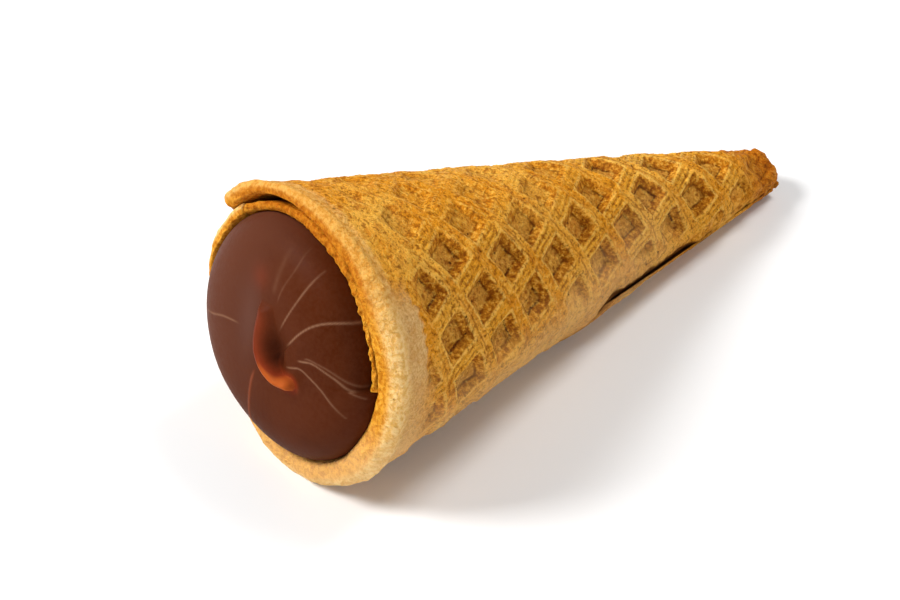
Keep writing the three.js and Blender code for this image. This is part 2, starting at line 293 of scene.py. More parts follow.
def loops_mesh(name, points, along, split):
    """points[row, column] in millimetres; rows go round each loop, split is its far end."""
    rows, columns = points.shape[:2]
    index = np.arange(rows * columns).reshape(rows, columns)
    below = np.roll(index, -1, axis=0)
    quads = np.stack([index[:, :-1], index[:, 1:], below[:, 1:], below[:, :-1]], axis=-1).reshape(-1, 4)
    faces = quads.tolist()
    for column, flip in ((0, False), (columns - 1, True)):
        front = index[: split + 1, column].tolist()
        back = [index[0, column]] + index[split + 1 :, column][::-1].tolist()
        reach_front, reach_back = along[1 : split + 1, column], along[split + 1 :, column][::-1]
        strip = close_strip(front[1:], back[1:], reach_front, reach_back)
        strip.append((front[0], front[1], back[1]))
        strip.append((front[-1], back[-1], front[-1]))
        for face in strip:
            if len(set(face)) == 3:
                faces.append(tuple(face[::-1]) if flip else tuple(face))
    return mesh_piece(name, points.reshape(-1, 3), faces)


def mesh_piece(name, points, faces):
    """Adds a smooth-shaded object from points in millimetres."""
    mesh = bpy.data.meshes.new(name)
    mesh.from_pydata((np.asarray(points) * 0.001).tolist(), [], faces)
    mesh.validate()
    mesh.shade_smooth()
    piece = bpy.data.objects.new(name, mesh)
    bpy.context.scene.collection.objects.link(piece)
    return piece


def paint(piece, name, values):
    """Stores one number, or three, for every vertex under a name that materials can read."""
    values = np.asarray(values, dtype=np.float32)
    kind = "FLOAT_VECTOR" if values.ndim > 1 else "FLOAT"
    layer = piece.data.attributes.new(name, kind, "POINT")
    layer.data.foreach_set("vector" if kind == "FLOAT_VECTOR" else "value", values.ravel())


print("helpers ready")

# %% [markdown]
# ## The outer turn: its lip
#
# At the mouth the sheet's outer edge is a soft round bead and its inner edge
# is a crumbly corner. The lip's inner radius follows the layer beneath it: a
# dark slot opens under the loose corner between 60 and 142 degrees, and
# elsewhere the layers touch.

# %% Inner radius of the outer turn
LIP_TURNS = [-226, -200, -130, -67, -34, -17, -3, 5, 20, 44, 62, 95, 112, 126, 136, 142]
LIP_RADII = [12.55, 12.5, 12.75, 12.6, 12.0, 11.9, 12.1, 12.3,
             12.0, 12.4, 13.1, 13.75, 14.0, 14.0, 13.85, 13.8]
SHEET_THICK, LEAST_THICK, LAYER_GAP, TIP_HOLLOW = 1.15, 0.12, 0.12, 0.35


def inside(along, turn):
    """Inner radius of the outer turn; it lies just above whatever is under it."""
    end = sheet_end(along)
    lip = np.interp(turn, LIP_TURNS, LIP_RADII) - along * SLOPE
    backed = SHEET_THICK + 0.6 * smooth(along, 3.0, 8.0)
    body = np.maximum(outside(along, turn) - backed, hollow_radius(along, turn))
    under_end = outside(along, end - 360.0) + LAYER_GAP + 0.22 * smooth(turn, end - 8.0, end)
    near_end = smooth(turn, end - 26.0, end - 9.0)
    body = body + (np.maximum(under_end, body) - body) * near_end
    skin = lip + (body - lip) * smooth(along, 0.5, 8.0)
    tip = TIP_HOLLOW + (under_end - TIP_HOLLOW) * near_end
    skin = skin + (tip - skin) * smooth(along, WAFER_LENGTH - 9.0, WAFER_LENGTH - 4.0)
    return np.minimum(skin, outside(along, turn) - LEAST_THICK)


check_turns = np.array([-200.0, 0.0, 90.0, 140.0])
print("lip thickness:", (outside(np.zeros(4), check_turns) - inside(np.zeros(4), check_turns)).round(2))

# %% [markdown]
# The columns are packed densely where ribs need fine geometry and the light
# rakes across them, and more loosely elsewhere. The rows go from the inner
# corner of the rim, over the bead, along the outside to the tip, and back
# along the inside.

# %% Lay out the rows and columns of the outer turn
BACK_COLUMNS, LOW_COLUMNS, FINE_COLUMNS, TOP_COLUMNS, LAST_COLUMNS = 62, 30, 132, 44, 38
CAP_ROWS, BEAD_ROWS, BODY_ROWS, TIP_ROWS, INSIDE_ROWS = 6, 6, 296, 4, 8
DENSE_FROM, FINE_FROM, FINE_TO, DENSE_TO = -72.0, -32.0, 76.0, 138.0
SHEET_SPAN, TIP_ROUND = 368.0, 1.6


def column_turns(along):
    """The turn of every column at each distance along the cone."""
    end = sheet_end(along)[..., None]
    start = end - SHEET_SPAN
    low_from = np.maximum(DENSE_FROM, start + 8.0)
    fine_from = np.maximum(FINE_FROM, low_from + 6.0)
    top_to = np.minimum(DENSE_TO, end - 3.0)
    stops = [start, low_from, fine_from, FINE_TO + 0.0 * start, top_to]
    counts = [BACK_COLUMNS, LOW_COLUMNS, FINE_COLUMNS, TOP_COLUMNS]
    runs = [a + (b - a) * np.linspace(0, 1, n, endpoint=False) for a, b, n in zip(stops, stops[1:], counts)]
    runs.append(top_to + (end - top_to) * np.linspace(0, 1, LAST_COLUMNS) ** 0.85)
    return np.concatenate(runs, axis=-1)


def lip_rows(turns):
    """Along and out for the rim: flat crumb top, then the round bead."""
    zero = np.zeros_like(turns)
    outer, inner = outside(zero, turns), inside(zero, turns)
    bead = np.minimum(1.7, 0.62 * (outer - inner))
    rows = []
    for k in range(CAP_ROWS):
        share = (k / CAP_ROWS) ** 0.8
        corner = 0.35 * (1.0 - smooth(share, 0.0, 0.35))
        rows.append((corner + zero, inner + (outer - bead - inner) * share))
    for k in range(BEAD_ROWS):
        lean = math.pi / 2 * k / BEAD_ROWS
        rows.append((bead * (1 - math.cos(lean)), outer - bead * (1 - math.sin(lean))))
    return rows, bead


mouth_turns = column_turns(np.array(0.0))
rim_rows, bead_size = lip_rows(mouth_turns)
print("columns:", len(mouth_turns))
print("bead from", bead_size.min().round(2), "to", bead_size.max().round(2), "mm")

# %% Work out the outer turn's surface
surface_rows = [(along_row, out_row, mouth_turns) for along_row, out_row in rim_rows]
for share in np.linspace(0.0, 1.0, BODY_ROWS):
    along_row = bead_size + (WAFER_LENGTH - bead_size) * share
    turns = column_turns(np.array(bead_size.mean() + (WAFER_LENGTH - bead_size.mean()) * share))
    over_tip = np.maximum(along_row - (WAFER_LENGTH - TIP_ROUND), 0.0)
    surface_rows.append((along_row, outside(along_row, turns) - 0.42 * over_tip**2, turns))
OUTER_COUNT = len(surface_rows)
tip_out, tip_turns = surface_rows[-1][1:]
tip_in = inside(np.full_like(tip_turns, WAFER_LENGTH), tip_turns)
tip_edge = np.maximum(tip_out, tip_in + 0.1)
for share in np.linspace(0.0, 1.0, TIP_ROWS + 2)[1:]:
    along_row = np.full_like(tip_turns, WAFER_LENGTH + 0.25 * math.sin(math.pi * share))
    surface_rows.append((along_row, tip_edge + (tip_in - tip_edge) * share, tip_turns))
SPLIT = len(surface_rows) - 1
for share in np.linspace(1.0, 0.0, INSIDE_ROWS + 2)[1:-1]:
    along_row = np.full_like(mouth_turns, 0.9 + (WAFER_LENGTH - 1.2 - 0.9) * share)
    turns = column_turns(np.array(along_row[0]))
    surface_rows.append((along_row, inside(along_row, turns), turns))
sheet_along, sheet_out, sheet_turn = (np.array(rows) for rows in zip(*surface_rows))
print("rows and columns:", sheet_along.shape, "so", 2 * sheet_along.size, "triangles")

# %% [markdown]
# Now the surface gets its character: the pressed lattice, the grain of baked
# batter in three sizes, crumbs on the rim, and a ragged blunt tip. All of them
# move the outside in or out; the inside, which nobody sees, stays plain.

# %% Press the lattice and roughen the skin
LEAST_FLOOR, TIP_WEAR = 0.25, 0.38
plain_points = on_cone(sheet_along, sheet_out, sheet_turn)
row_number = np.arange(len(sheet_along))[:, None] + np.zeros_like(sheet_along)
on_skin = (row_number >= CAP_ROWS + 2) & (row_number < OUTER_COUNT)
on_rim = row_number < CAP_ROWS + BEAD_ROWS + 3
past_start = sheet_turn - sheet_end(sheet_along) + SHEET_SPAN
bare = smooth(past_start, 6.0, 9.0)
height, grid_spot = pressed(sheet_along, sheet_turn)
blister = bumps(plain_points, 2.6, 11)
grain = bumps(plain_points, 0.95, 12)
crumb = bumps(plain_points, 0.55, 13)
near_tip = smooth(sheet_along, 54.0, 65.0)
rough = 0.10 * blister + 0.13 * grain + 0.06 * crumb
rough = rough + near_tip * (0.32 * bumps(plain_points, 1.9, 14) + 0.24 * bumps(plain_points, 1.0, 19))
skin_move = (height + rough) * bare
swing = np.mod(sheet_turn + 90.0, 360.0) - 90.0  # 0 on the right, 90 on top
worn_tip = smooth(sheet_along, 60.0, 64.0) * smooth(swing, 30.0, 70.0)
worn_tip = worn_tip * (1.0 - smooth(swing, 120.0, 160.0))
skin_move = skin_move - TIP_WEAR * worn_tip
cap = np.where(row_number <= CAP_ROWS, 1.0, 0.45)
rim_move = cap * (0.16 * blister + 0.20 * grain + 0.15 * crumb)
moved_out = sheet_out + np.where(on_skin, skin_move, 0.0) + np.where(on_rim & ~on_skin, 0.5 * rim_move, 0.0)
inner_skin = inside(np.clip(sheet_along, 0, WAFER_LENGTH), sheet_turn)
holds = on_skin & (sheet_along > 3.0) & (sheet_along < 62.0)
moved_out = np.where(holds, np.maximum(moved_out, inner_skin + LEAST_FLOOR), moved_out)
rim_share = np.where(on_rim, 1.0 - smooth(sheet_along, 0.6, 2.0), 0.0)
around = np.mod(sheet_turn, 360.0)
sunk = 0.55 * smooth(around, 176.0, 194.0) * (1 - smooth(around, 245.0, 262.0))
moved_along = sheet_along - rim_share * (0.30 * bumps(plain_points, 4.5, 15) + rim_move - sunk)
tip_share = np.where(row_number >= OUTER_COUNT - 6, 1.0, 0.0) * smooth(sheet_along, 65.5, 66.5)
moved_along = moved_along - tip_share * np.abs(0.9 * bumps(plain_points, 1.8, 16))
print("skin moves from", skin_move.min().round(2), "to", skin_move.max().round(2), "mm")

# %% [markdown]
# The cut end of the sheet is where knife and oven met: a thin, slightly rounded
# face. Three extra columns fold the surface over toward the middle of its
# thickness, and a little raggedness makes the edge scalloped.

# %% Round over the cut end and make the mesh
EDGE_FOLD = [0.22, 0.55, 0.85]
ragged = 0.45 * bumps(plain_points[:, -1], 2.2, 17) + 0.22 * bumps(plain_points[:, -1], 0.8, 18)
closeness = np.clip(1.0 - (sheet_turn[:, -1:] - sheet_turn) / 6.0, 0.0, 1.0) ** 2
moved_turn = sheet_turn + closeness * np.degrees(ragged / np.maximum(sheet_out[:, -1], 1.5))[:, None]
outer_skin = np.maximum(outside(np.clip(sheet_along, 0, WAFER_LENGTH), sheet_turn), inner_skin)
middle = 0.5 * (outer_skin + inner_skin)[:, -1]
extra = [middle + (moved_out[:, -1] - middle) * (1.0 - fold) for fold in EDGE_FOLD]
spin = [np.degrees(0.16 * fold**0.5 / np.maximum(sheet_out[:, -1], 1.5)) for fold in EDGE_FOLD]
full_out = np.concatenate([moved_out] + [column[:, None] for column in extra], axis=1)
full_along = np.concatenate([moved_along] + [moved_along[:, -1:]] * 3, axis=1)
full_turn = np.concatenate([moved_turn] + [(moved_turn[:, -1] + s)[:, None] for s in spin], axis=1)
outer_points = on_cone(full_along, full_out, full_turn)
outer_points[..., 2] = np.maximum(outer_points[..., 2], 0.0)
outer_turn = loops_mesh("outer_turn", outer_points, full_along, SPLIT)
print("outer turn:", len(outer_turn.data.polygons), "faces")

# %% Paint the outer turn's facts for its material


def widen(values):
    """Repeats the last column for the three that fold over the cut end."""
    return np.concatenate([values] + [values[:, -1:]] * 3, axis=1)


patch_edge = 4.7 + 0.5 * bumps(plain_points, 3.0, 21) + 0.6 * bumps(plain_points, 0.8, 22)
patch_edge = patch_edge - 0.012 * (swing - 10.0)
pale = 1 - smooth(sheet_along, patch_edge - 0.25, patch_edge + 0.1)
soft_edge = 1 - smooth(sheet_along, patch_edge - 2.0, patch_edge + 3.0)
crisp = smooth(swing, 4.0, 18.0)
pale = smooth(sheet_along, 0.9, 1.8) * (pale * crisp + 0.8 * soft_edge * (1 - crisp))
pale = pale * smooth(swing, -60.0, -10.0) * (1 - smooth(swing, 34.0, 52.0))
cut_face = np.where(on_rim & ~on_skin, 1.0, 0.0)
bead_rows = (row_number > CAP_ROWS) & (row_number < OUTER_COUNT)
# Painted highlight: the rim's outer bead is painted pale gold.
bead = np.where(bead_rows, 1.0 - smooth(sheet_along, 1.2, 2.6), 0.0)
# Painted shade: the seam at the rim's inner corner, the sheet's inside, the crevice past the cut end and the
# strip just before it are painted dark brown.
seam_shade = (row_number == 0) * smooth(around, 2.0, 8.0) * (1 - smooth(around, 58.0, 75.0))
under_skin_shade = (row_number > SPLIT) * smooth(sheet_along, 1.5, 3.0)
past_end = sheet_turn - sheet_end(sheet_along) + 360.0
crevice_shade = smooth(past_end, 5.0, 0.0) * smooth(sheet_along, 3.0, 8.0) * on_skin
to_end = sheet_turn[:, -1:] - sheet_turn
end_strip_shade = 0.45 * (1 - smooth(to_end, 5.0, 14.0)) * smooth(sheet_along, 26.0, 36.0) * on_skin
crevice_shade = np.maximum(crevice_shade, end_strip_shade) * (1 - smooth(sheet_along, 52.0, 56.0))
paint(outer_turn, "painted_shade", widen(np.maximum(np.maximum(under_skin_shade, crevice_shade), seam_shade)).ravel())
paint(outer_turn, "bead", widen(bead).ravel())
lattice_here = [widen(part) for part in grid_spot]
lattice_here[2] = widen(np.where(on_skin, grid_spot[2] * bare, 0.0))
paint(outer_turn, "lattice", np.stack(lattice_here, axis=-1).reshape(-1, 3))
paint(outer_turn, "pale", widen(pale).ravel())
paint(outer_turn, "cut", np.concatenate([cut_face] + [np.ones_like(cut_face[:, :1])] * 3, axis=1).ravel())
print("painted", len(outer_turn.data.attributes), "layers")

# %% [markdown]
# ## The inner turn at the mouth
#
# Under the loose corner the sheet's first turn shows as a thin crumbly collar
# from its inner end, on the right, round over the top to the upper left.
# Below the chocolate nobody sees it, so only its first ten millimetres are made.

# %% The collar of inner turn
COLLAR_FROM, COLLAR_TO, COLLAR_DEPTH = 5.0, 135.0, 10.0
COLLAR_TURNS = [5, 20, 44, 62, 95, 115, 135]
COLLAR_RADII = [12.15, 11.9, 12.3, 12.95, 13.35, 13.45, 13.5]


def collar_outside(along, turn):
    return np.interp(turn, COLLAR_TURNS, COLLAR_RADII) - along * (SLOPE + 0.012)


collar_columns = np.linspace(COLLAR_FROM, COLLAR_TO, 300)
lip_in, lip_out = hollow_radius(0.0, collar_columns), collar_outside(0.0, collar_columns)
collar_along, collar_out = [], []
for share in np.linspace(0.08, 0.92, 9):
    drop = 0.22 * (2 * share - 1) ** 4
    collar_along.append(np.full_like(collar_columns, 0.25 + drop))
    collar_out.append(lip_in + (lip_out - lip_in) * share)
for reach in np.linspace(0.0, 1.0, 14) ** 1.6:
    collar_along.append(np.full_like(collar_columns, 0.65 + (COLLAR_DEPTH - 0.65) * reach))
    collar_out.append(collar_outside(collar_along[-1], collar_columns))
COLLAR_SPLIT = len(collar_along) - 1
for reach in np.linspace(1.0, 0.0, 14) ** 1.6:
    collar_along.append(np.full_like(collar_columns, 0.6 + (COLLAR_DEPTH - 0.6) * reach))
    collar_out.append(hollow_radius(collar_along[-1], collar_columns) + 0.02)
collar_along, collar_out = np.array(collar_along), np.array(collar_out)
collar_turn = np.broadcast_to(collar_columns, collar_along.shape)
spots = on_cone(collar_along, collar_out, collar_turn)
top_share = 1.0 - smooth(collar_along, 0.8, 2.2)
collar_rough = top_share * (0.28 * bumps(spots, 1.1, 31) + 0.28 * bumps(spots, 0.45, 32))
collar_points = on_cone(collar_along - collar_rough - 0.25 * top_share * bumps(spots, 5.0, 33),
                        collar_out + 0.5 * collar_rough - 0.05, collar_turn)
inner_turn = loops_mesh("inner_turn", collar_points, collar_along, COLLAR_SPLIT)
for layer in ("pale", "bead"):
    paint(inner_turn, layer, np.zeros(collar_along.size))
# Painted shade: the collar below its top is painted dark brown.
paint(inner_turn, "painted_shade", np.where(collar_along > 1.2, 1.0, 0.0).ravel())
paint(inner_turn, "lattice", np.zeros((collar_along.size, 3)))
paint(inner_turn, "cut", np.ones(collar_along.size))
print("collar:", len(inner_turn.data.polygons), "faces")

# %% [markdown]
# ## The chocolate: a dome with a piped peak
#
# The filling was poured warm and stands a little proud of the mouth. When the
# nozzle was pulled away it drew up a peak, which then fell over into a hook.
# The dome's height over each spot is a sum: the dome itself, the hook's ridge,
# and a few hair-thin threads that ran off it. A fine polar grid carries all of
# them as real shape.

# %% Height of the dome, and the hook's ridge
DOME_HEIGHT, DOME_EDGE = 3.2, 0.6
HOOK_CREST = [(-0.6, 6.7, 3.2), (-0.45, 5.4, 3.6), (-0.3, 3.6, 4.0), (-0.3, 1.7, 4.25), (0.05, 0.05, 4.35),
              (1.05, -1.15, 4.35), (2.6, -1.7, 4.3), (4.2, -1.45, 4.2)]


def dome(share):
    return -DOME_EDGE + (DOME_HEIGHT + DOME_EDGE) * (1.0 - np.minimum(share, 1.0) ** 4.5) ** 0.7


def smooth_line(knots, count):
    """A smooth curve through a few points, by the usual four-point rule."""
    knots = np.array(knots, dtype=float)
    padded = np.vstack([2 * knots[0] - knots[1], knots, 2 * knots[-1] - knots[-2]])
    places = np.linspace(0, len(knots) - 1.0001, count)
    spot = places.astype(int)
    f = (places - spot)[:, None]
    a, b, c, d = (padded[spot + k] for k in range(4))
    return 0.5 * (2 * b + (c - a) * f + (2 * a - 5 * b + 4 * c - d) * f**2 + (3 * b - 3 * c + d - a) * f**3)


def nearest_on(line, x, y):
    """For each spot: distance to the line, which side (-1 right to 1 left of travel), how far along."""
    best = np.full(x.shape, 1e9)
    side, where = np.zeros(x.shape), np.zeros(x.shape)
    ahead = np.gradient(line[:, :2], axis=0)
    for k, point in enumerate(line):
        dx, dy = x - point[0], y - point[1]
        gap = np.hypot(dx, dy)
        closer = gap < best
        best = np.where(closer, gap, best)
        across = (ahead[k, 0] * dy - ahead[k, 1] * dx) / (np.hypot(*ahead[k]) * np.maximum(gap, 1e-6))
        side = np.where(closer, across, side)
        where = np.where(closer, k / (len(line) - 1), where)
    return best, side, where


crest = smooth_line(HOOK_CREST, 180)
print("the hook's crest is", round(float(np.hypot(*np.diff(crest[:, :2], axis=0).T).sum()), 1), "mm long")

# %% The polar grid of the dome and its wall
AROUND, DOME_RINGS, EDGE_RINGS, WALL_RINGS = 540, 132, 33, 10
flat_rings = np.linspace(0.012, 0.90, DOME_RINGS - EDGE_RINGS - 1)
ring_share = np.concatenate([[0.004], flat_rings, np.linspace(0.905, 1.0, EDGE_RINGS)])
choc_turn = np.arange(AROUND) * 360.0 / AROUND + INNER_END
edge_radius = hollow_radius(0.0, choc_turn) - CLEARANCE
share_grid, turn_grid = np.meshgrid(ring_share, choc_turn, indexing="ij")
radius_grid = share_grid * (12.0 + (edge_radius[None, :] - 12.0) * share_grid**8)
dome_x, dome_y = radius_grid * np.cos(np.radians(turn_grid)), radius_grid * np.sin(np.radians(turn_grid))
dome_high = dome(share_grid) + 0.38 * smooth(-dome_x, 2.0, 9.0) * (1.0 - share_grid**10)
gap, side, where = nearest_on(crest, dome_x, dome_y)
print("smallest and largest dome height:", dome_high.min().round(2), dome_high.max().round(2))

# %% [markdown]
# The ridge is lopsided: its outer flank falls away steeply and catches the
# light, while its inner flank slopes gently into the hollow of the hook. The
# end is blunt, where the drawn-out thread broke off.

# %% Raise the ridge
crest_high = np.interp(where, np.linspace(0, 1, len(crest)), crest[:, 2])
grow = smooth(where, 0.18, 0.25)
inner_side = smooth(side, -0.5, 0.5) * (1.0 - smooth(where, 0.86, 0.99))
outer_width = 0.88 - 0.24 * smooth(where, 0.65, 1.0)
inner_width = outer_width + 1.6 * smooth(where, 0.15, 0.5) * (1 - smooth(where, 0.60, 0.92))
flank_width = outer_width + (inner_width - outer_width) * inner_side
reach = np.clip(gap / flank_width, 0.0, 1.0)
ridge_high = np.maximum(crest_high - dome_high, 0.0) * grow * (1 - reach**2) ** (0.62 + 0.9 * inner_side)
hollow_beside = -0.25 * np.exp(-(((dome_x - 2.2) / 1.5) ** 2) - (((dome_y - 1.2) / 2.0) ** 2)) * inner_side
print("ridge up to", ridge_high.max().round(2), "mm above the dome")

# %% [markdown]
# The threads are only a fifth of a millimetre wide. Each is a short list of
# places on the dome, counted from the middle of the mouth, with its strength:
# how strongly a glint, a painted highlight, lies along it.

# %% Draw the threads
THREADS = [
    (0.90, 0.10, [(2.7, 1.7), (3.5, 2.8), (4.5, 4.3), (5.6, 5.6), (6.8, 6.5), (8.1, 6.95), (9.4, 6.9)]),
    (0.65, 0.10, [(1.6, 2.7), (2.5, 4.9), (3.4, 7.2), (3.9, 8.9), (4.2, 10.2)]),
    (0.22, 0.10, [(0.9, 5.4), (1.2, 7.1), (1.8, 9.4), (1.7, 11.2)]),
    (0.14, 0.30, [(0.2, 6.0), (0.3, 8.0), (0.2, 10.5)]),
    (0.75, 0.10, [(3.2, -0.1), (3.9, 0.2), (5.2, 0.8), (6.5, 0.6), (8.0, 0.0), (9.3, -1.1), (10.4, -2.1)]),
    (0.80, 0.10, [(4.6, 1.4), (5.3, 1.7), (6.8, 2.2), (9.0, 1.8), (10.3, 1.0), (11.5, 0.4)]),
    (0.40, 0.10, [(5.4, 2.0), (6.2, 2.4), (8.4, 2.4), (10.2, 1.7), (11.2, 1.0)]),
    (0.60, 0.11, [(-3.6, 0.7), (-5.0, 0.45), (-6.3, 0.1), (-7.8, -0.6), (-9.2, -1.1)]),
]
RED_THREADS = [
    (0.90, 0.16, [(-0.8, -2.6), (-1.2, -4.0), (-1.4, -5.5), (-1.6, -7.6), (-2.0, -9.8), (-2.6, -12.0)]),
]


def thread_mark(threads, x, y):
    """How strongly each spot lies on one of the threads, fading at both ends."""
    mark = np.zeros(x.shape)
    for strong, width, knots in threads:
        near, _, how_far = nearest_on(smooth_line(knots, 70), x, y)
        ends = smooth(how_far, 0.0, 0.22) * (1 - 0.55 * smooth(how_far, 0.75, 1.0))
        mark = np.maximum(mark, strong * np.exp(-((near / width) ** 2)) * ends)
    return mark


# The threads are raised a little, and each carries a painted highlight along it.
pale_thread_glint = thread_mark(THREADS, dome_x, dome_y)
red_thread_glint = thread_mark(RED_THREADS, dome_x, dome_y)
print("threads cover", round(100 * float((pale_thread_glint > 0.3).mean()), 1), "% of the grid")

# %% Put the chocolate together
ripple_at = np.stack([dome_x, dome_y, np.zeros_like(dome_x)], axis=-1)
ripple = 0.05 * bumps(ripple_at, 5.0, 41) + 0.006 * bumps(ripple_at, 0.5, 42)
settle = 1 - smooth(share_grid, 0.9, 1.0)
choc_high = dome_high + ridge_high + hollow_beside * settle + ripple * settle
choc_high = choc_high + 0.03 * pale_thread_glint + 0.04 * red_thread_glint
choc_along = [-choc_high]
choc_radius = [radius_grid]
wall = np.linspace(DOME_EDGE, CAVITY_DEPTH - CLEARANCE, WALL_RINGS + 1)[1:]
for depth in wall:
    choc_along.append(np.full((1, AROUND), depth))
    choc_radius.append((hollow_radius(depth, choc_turn) - CLEARANCE)[None, :])
choc_along, choc_radius = np.concatenate(choc_along), np.concatenate(choc_radius)
choc_points = on_cone(choc_along, choc_radius, choc_turn[None, :]).reshape(-1, 3)
rings = len(choc_along)
ring_index = np.arange(rings * AROUND).reshape(rings, AROUND)
nxt = np.roll(ring_index, -1, axis=1)
choc_faces = np.stack([ring_index[:-1], ring_index[1:], nxt[1:], nxt[:-1]], axis=-1).reshape(-1, 4).tolist()
centre_high = float(choc_high[0].mean())
choc_points = np.vstack([choc_points, on_cone(-centre_high, 0.0, 0.0), on_cone(float(wall[-1]), 0.0, 0.0)])
first, last = rings * AROUND, rings * AROUND + 1
choc_faces += [(first, ring_index[0, k], nxt[0, k]) for k in range(AROUND)]
choc_faces += [(last, nxt[-1, k], ring_index[-1, k]) for k in range(AROUND)]
chocolate = mesh_piece("chocolate_dome", choc_points, choc_faces)
print("chocolate:", len(chocolate.data.polygons), "faces")

# %% Paint the chocolate's facts for its material


def over_wall(values):
    """The dome's values, then zeros for the wall and the two middle points."""
    return np.concatenate([values.ravel(), np.zeros(WALL_RINGS * AROUND), [values[0].mean(), 0.0]])


# Painted glow: the hook's outer flank, and a soft spot above it, are painted orange-red.
flank_glow = np.exp(-((gap / 1.0) ** 4)) * (1 - inner_side) + np.exp(-((gap / 0.9) ** 2)) * inner_side
flank_glow = flank_glow * smooth(where, 0.14, 0.34) * (0.45 + 0.55 * smooth(where, 0.40, 0.85))
shade_side = inner_side * np.exp(-(((gap - 1.9) / 1.3) ** 2)) * smooth(where, 0.25, 0.50)
# Painted reflection: a pale haze beside the hook's outer flank.
haze_reflection_at = np.hypot((dome_x + 2.6) / 1.5, (dome_y - 2.0) / 4.2)
haze_reflection = np.exp(-(haze_reflection_at**2)) * (1 - inner_side) * smooth(gap, 0.5, 1.2)
# Painted sheen: the dome is painted paler and greyer towards its left side.
left_sheen = smooth(0.15 * dome_y - dome_x, -3.5, 9.0)
glow_spot = np.exp(-(((dome_x + 1.9) / 1.1) ** 2) - (((dome_y - 6.9) / 1.2) ** 2))
paint(chocolate, "painted_glow", over_wall(np.clip(flank_glow + 0.22 * glow_spot, 0, 1)))
paint(chocolate, "dark", over_wall(np.clip(shade_side, 0, 1)))
paint(chocolate, "haze_reflection", over_wall(np.clip(haze_reflection, 0, 1)))
paint(chocolate, "left_sheen", over_wall(left_sheen))
paint(chocolate, "thread_glint", over_wall(pale_thread_glint))
paint(chocolate, "red_thread_glint", over_wall(red_thread_glint))
print("painted the chocolate")

# %% [markdown]
# ## Materials
#
# Both materials are built from nodes, with no pictures. A short helper adds a
# node, sets its inputs and joins them to others, so each material reads as a
# list of its layers, from the broad colour down to the finest grain.

# %% A helper for building materials


class Shade:
    """A material whose nodes are added one line at a time."""

    def __init__(self, name):
        self.material = bpy.data.materials.new(name)
        self.material.use_nodes = True
        self.tree = self.material.node_tree
        self.tree.nodes.clear()

    def add(self, kind, inputs=None, **settings):
        made = self.tree.nodes.new("ShaderNode" + kind)
        for key, value in settings.items():
            setattr(made, key, value)
        for key, value in (inputs or {}).items():
            if isinstance(value, bpy.types.NodeSocket):
                self.tree.links.new(value, made.inputs[key])
            else:
                made.inputs[key].default_value = value
        return made

    def fact(self, name):
        return self.add("Attribute", attribute_name=name).outputs["Fac"]

    def maths(self, operation, a, b=0.0, c=0.0):
        return self.add("Math", {0: a, 1: b, 2: c}, operation=operation).outputs[0]

    def times(self, a, b):
        return self.maths("MULTIPLY", a, b)

    def blend(self, share, a, b, mode="MIX"):
        made = self.add("Mix", {0: share, 6: a, 7: b}, data_type="RGBA", blend_type=mode)
        return made.outputs[2]

    def grains(self, where, size, detail=2.0, rough=0.5, warp=0.0):
        """Noise whose bumps are size millimetres across, on object coordinates."""
        return self.add("TexNoise", {"Vector": where, "Scale": 1000.0 / size, "Detail": detail,
                                     "Roughness": rough, "Distortion": warp}).outputs["Fac"]

    def range(self, value, low, high, to_low=0.0, to_high=1.0):
        ends = {0: value, 1: low, 2: high, 3: to_low, 4: to_high}
        return self.add("MapRange", ends, interpolation_type="SMOOTHSTEP").outputs[0]

    def food_surface(self, colour, roughness, bump, settings):
        """A food's skin, which lets a little light in."""
        inputs = {"Base Color": colour, "Roughness": roughness, "Normal": bump.outputs["Normal"]}
        skin = self.add("BsdfPrincipled", {**inputs, **settings})
        self.add("OutputMaterial", {"Surface": skin.outputs["BSDF"]})


def rgb(red, green, blue):
    """A screen colour from 0-255 numbers, as the linear colour that shaders use."""
    linear = [((c / 255 + 0.055) / 1.055) ** 2.4 if c > 10 else c / 3294.6 for c in (red, green, blue)]
    return (*linear, 1.0)


print("straw colour in linear numbers:", [round(c, 3) for c in rgb(222, 165, 80)])

# %% [markdown]
# ### The wafer
#
# Baked batter is golden straw on the ribs and duller in the floors, and the pocket
# sides are painted a deeper orange-brown, a painted shade and bounce light. Over
# that come large soft patches of browning, a fine sandy grain, tiny dark pores,
# and, on the ribs, hair-fine dark lines of painted shade in their grooves. The
# cut faces are paler and crumbly.

# %% Measure the lattice again inside the material, where it can be crisper
wafer = Shade("baked_wafer")
here = wafer.add("TexCoord").outputs["Object"]
spot = wafer.add("SeparateXYZ", {0: wafer.add("Attribute", attribute_name="lattice").outputs["Vector"]})
pressed_in = spot.outputs["Z"]
pale_patch, bead_highlight, cut, painted_shade = (wafer.fact(name) for name in ("pale", "bead", "cut", "painted_shade"))
patches = wafer.grains(here, 9.0, 3.0, 0.55)
mottle = wafer.grains(here, 1.7, 3.0, 0.6)
sand = wafer.grains(here, 0.5, 4.0, 0.7)
fine = wafer.grains(here, 0.22, 2.0, 0.6)


def from_rib(way, wobble):
    """Distance in millimetres from the nearest rib's middle line, one way across the grid."""
    nearest = wafer.maths("ROUND", way)
    off = wafer.maths("ABSOLUTE", wafer.maths("SUBTRACT", way, nearest))
    distance = wafer.maths("MULTIPLY_ADD", off, -PITCH, PITCH / 2)
    return wafer.maths("MULTIPLY_ADD", wobble, 0.30, wafer.maths("SUBTRACT", distance, 0.15))


over_gap = from_rib(spot.outputs["Y"], mottle)
under_gap = from_rib(spot.outputs["X"], sand)
rib_gap = wafer.add("Math", {0: over_gap, 1: under_gap, 2: 0.25}, operation="SMOOTH_MIN").outputs[0]
print("lattice measured with", len(wafer.tree.nodes), "nodes")

